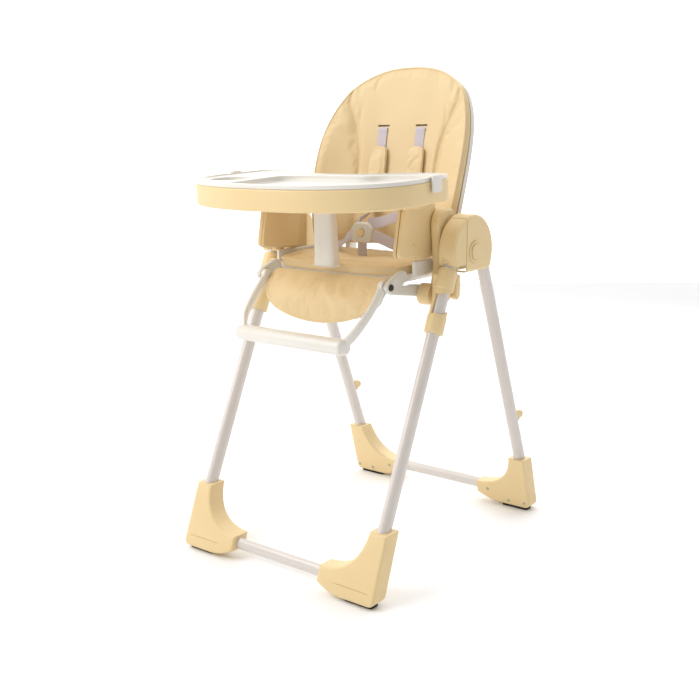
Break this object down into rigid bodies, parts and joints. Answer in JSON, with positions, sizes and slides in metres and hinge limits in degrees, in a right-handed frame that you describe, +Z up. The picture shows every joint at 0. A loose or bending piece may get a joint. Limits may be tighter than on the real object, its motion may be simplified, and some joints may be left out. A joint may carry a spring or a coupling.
{
  "type": "baby high chair",
  "caption": "Folding high chair with A-frame tube legs, height-adjustable padded seat, reclining back, legrest, footrest and removable tray.",
  "frame": {"origin": "on the floor, under the middle of the chair's outline", "axes": "+Z up; the seated child faces -Y; the child's left is +X"},
  "size_m": [0.574, 0.769, 1.124],
  "materials": {
    "cream_plastic": "moulded cream-yellow plastic, fine texture, satin",
    "leatherette": "padded synthetic leather, fine grain, soft sheen",
    "white_plastic": "moulded warm white plastic, low gloss",
    "grey_plastic": "light grey moulded plastic",
    "silver_tube": "satin silver powder-coated steel tube",
    "steel": "zinc-plated steel",
    "rubber": "dark non-slip rubber",
    "webbing": "woven nylon webbing, light grey",
    "dark_plastic": "dark moulded plastic"
  },
  "bodies": {
    "front_frame": {"front_leg_left": "silver_tube", "front_leg_right": "silver_tube", "front_crossbar": "silver_tube", "front_boot_left": "cream_plastic", "front_boot_right": "cream_plastic", "front_foot_pad_left": "rubber", "front_foot_pad_right": "rubber", "hub_socket_left": "cream_plastic", "hub_socket_right": "cream_plastic", "hub_cover_left": "cream_plastic", "hub_cover_right": "cream_plastic", "hub_pin_left": "steel", "hub_pin_right": "steel"},
    "rear_frame": {"rear_leg_left": "silver_tube", "rear_leg_right": "silver_tube", "rear_crossbar": "silver_tube", "rear_boot_left": "cream_plastic", "rear_boot_right": "cream_plastic", "rear_foot_pad_left": "rubber", "rear_foot_pad_right": "rubber", "tray_hook_left": "cream_plastic", "tray_hook_right": "cream_plastic", "rear_hinge_plate_left": "steel", "rear_hinge_plate_right": "steel"},
    "seat": {"height_carriage_left": "cream_plastic", "height_carriage_right": "cream_plastic", "seat_bracket_left": "cream_plastic", "seat_bracket_right": "cream_plastic", "seat_shell": "white_plastic", "seat_pad": "leatherette", "armrest_left": "cream_plastic", "armrest_right": "cream_plastic", "legrest_bracket_left": "grey_plastic", "legrest_bracket_right": "grey_plastic", "crotch_strap": "webbing", "buckle_body": "grey_plastic"},
    "backrest": {"backrest_shell": "white_plastic", "backrest_pad": "leatherette", "shoulder_strap_left": "webbing", "shoulder_strap_right": "webbing", "shoulder_pad_left": "leatherette", "shoulder_pad_right": "leatherette"},
    "recline_lever": {"recline_lever": "cream_plastic"},
    "legrest": {"legrest_pad": "leatherette", "legrest_shell": "grey_plastic"},
    "footrest": {"footrest": "white_plastic"},
    "tray": {"tray_base": "cream_plastic", "crotch_post": "white_plastic"},
    "tray_insert": {"tray_insert": "white_plastic"},
    "buckle_button": {"buckle_button": "cream_plastic"},
    "fold_button_left": {"fold_button_left": "cream_plastic"},
    "height_lever_left": {"height_lever_left": "cream_plastic"},
    "legrest_button_left": {"legrest_button_left": "dark_plastic"},
    "tray_clip_left": {"tray_clip_left": "white_plastic"},
    "tray_latch_left": {"tray_latch_left": "cream_plastic"},
    "fold_button_right": {"fold_button_right": "cream_plastic"},
    "height_lever_right": {"height_lever_right": "cream_plastic"},
    "legrest_button_right": {"legrest_button_right": "dark_plastic"},
    "tray_clip_right": {"tray_clip_right": "white_plastic"},
    "tray_latch_right": {"tray_latch_right": "cream_plastic"}
  },
  "joints": [
    {"name": "frame_fold", "type": "hinge", "parent": "front_frame", "child": "rear_frame", "pos_m": [0, 0.02336, 0.712], "axis": [-1, 0, 0], "range_deg": [0, 38]},
    {"name": "seat_height", "type": "slide", "parent": "front_frame", "child": "seat", "axis": [0, -0.4115, -0.9114], "range_m": [0, 0.22]},
    {"name": "backrest_recline", "type": "hinge", "parent": "seat", "child": "backrest", "pos_m": [0, 0.12236, 0.69], "axis": [-1, 0, 0], "range_deg": [0, 48]},
    {"name": "recline_lever_pull", "type": "hinge", "parent": "backrest", "child": "recline_lever", "pos_m": [0, 0.15536, 0.798], "axis": [1, 0, 0], "range_deg": [0, 12], "stiffness_Nm_per_rad": 0.4},
    {"name": "legrest_tilt", "type": "hinge", "parent": "seat", "child": "legrest", "pos_m": [0, -0.16564, 0.646], "axis": [-1, 0, 0], "range_deg": [0, 50]},
    {"name": "footrest_tilt", "type": "hinge", "parent": "seat", "child": "footrest", "pos_m": [0, -0.16564, 0.646], "axis": [-1, 0, 0], "range_deg": [0, 40]},
    {"name": "tray_slide", "type": "slide", "parent": "seat", "child": "tray", "axis": [0, -0.9986, -0.0523], "range_m": [0, 0.12]},
    {"name": "insert_lift", "type": "slide", "parent": "tray", "child": "tray_insert", "axis": [0, -0.0523, 0.9986], "range_m": [0, 0.08]},
    {"name": "buckle_press", "type": "slide", "parent": "seat", "child": "buckle_button", "axis": [0, 1, 0], "range_m": [0, 0.003], "stiffness_N_per_m": 400},
    {"name": "fold_button_left_press", "type": "slide", "parent": "front_frame", "child": "fold_button_left", "axis": [-1, 0, 0], "range_m": [0, 0.0015], "stiffness_N_per_m": 800},
    {"name": "height_lever_left_squeeze", "type": "hinge", "parent": "seat", "child": "height_lever_left", "pos_m": [0.256, -0.00764, 0.66], "axis": [-1, 0, 0], "range_deg": [0, 10], "stiffness_Nm_per_rad": 0.5},
    {"name": "legrest_button_left_press", "type": "slide", "parent": "seat", "child": "legrest_button_left", "axis": [-1, 0, 0], "range_m": [0, 0.003], "stiffness_N_per_m": 400},
    {"name": "tray_clip_left_hinge", "type": "hinge", "parent": "tray_insert", "child": "tray_clip_left", "pos_m": [0.275, -0.13857, 0.88038], "axis": [0, -0.9986, -0.0523], "range_deg": [0, 65]},
    {"name": "tray_latch_left_pull", "type": "slide", "parent": "tray", "child": "tray_latch_left", "axis": [0, -0.9986, -0.0523], "range_m": [0, 0.004], "stiffness_N_per_m": 400},
    {"name": "fold_button_right_press", "type": "slide", "parent": "front_frame", "child": "fold_button_right", "axis": [1, 0, 0], "range_m": [0, 0.0015], "stiffness_N_per_m": 800},
    {"name": "height_lever_right_squeeze", "type": "hinge", "parent": "seat", "child": "height_lever_right", "pos_m": [-0.256, -0.00764, 0.66], "axis": [-1, 0, 0], "range_deg": [0, 10], "stiffness_Nm_per_rad": 0.5},
    {"name": "legrest_button_right_press", "type": "slide", "parent": "seat", "child": "legrest_button_right", "axis": [1, 0, 0], "range_m": [0, 0.003], "stiffness_N_per_m": 400},
    {"name": "tray_clip_right_hinge", "type": "hinge", "parent": "tray_insert", "child": "tray_clip_right", "pos_m": [-0.275, -0.13857, 0.88038], "axis": [0, 0.9986, 0.0523], "range_deg": [0, 65]},
    {"name": "tray_latch_right_pull", "type": "slide", "parent": "tray", "child": "tray_latch_right", "axis": [0, -0.9986, -0.0523], "range_m": [0, 0.004], "stiffness_N_per_m": 400}
  ]
}
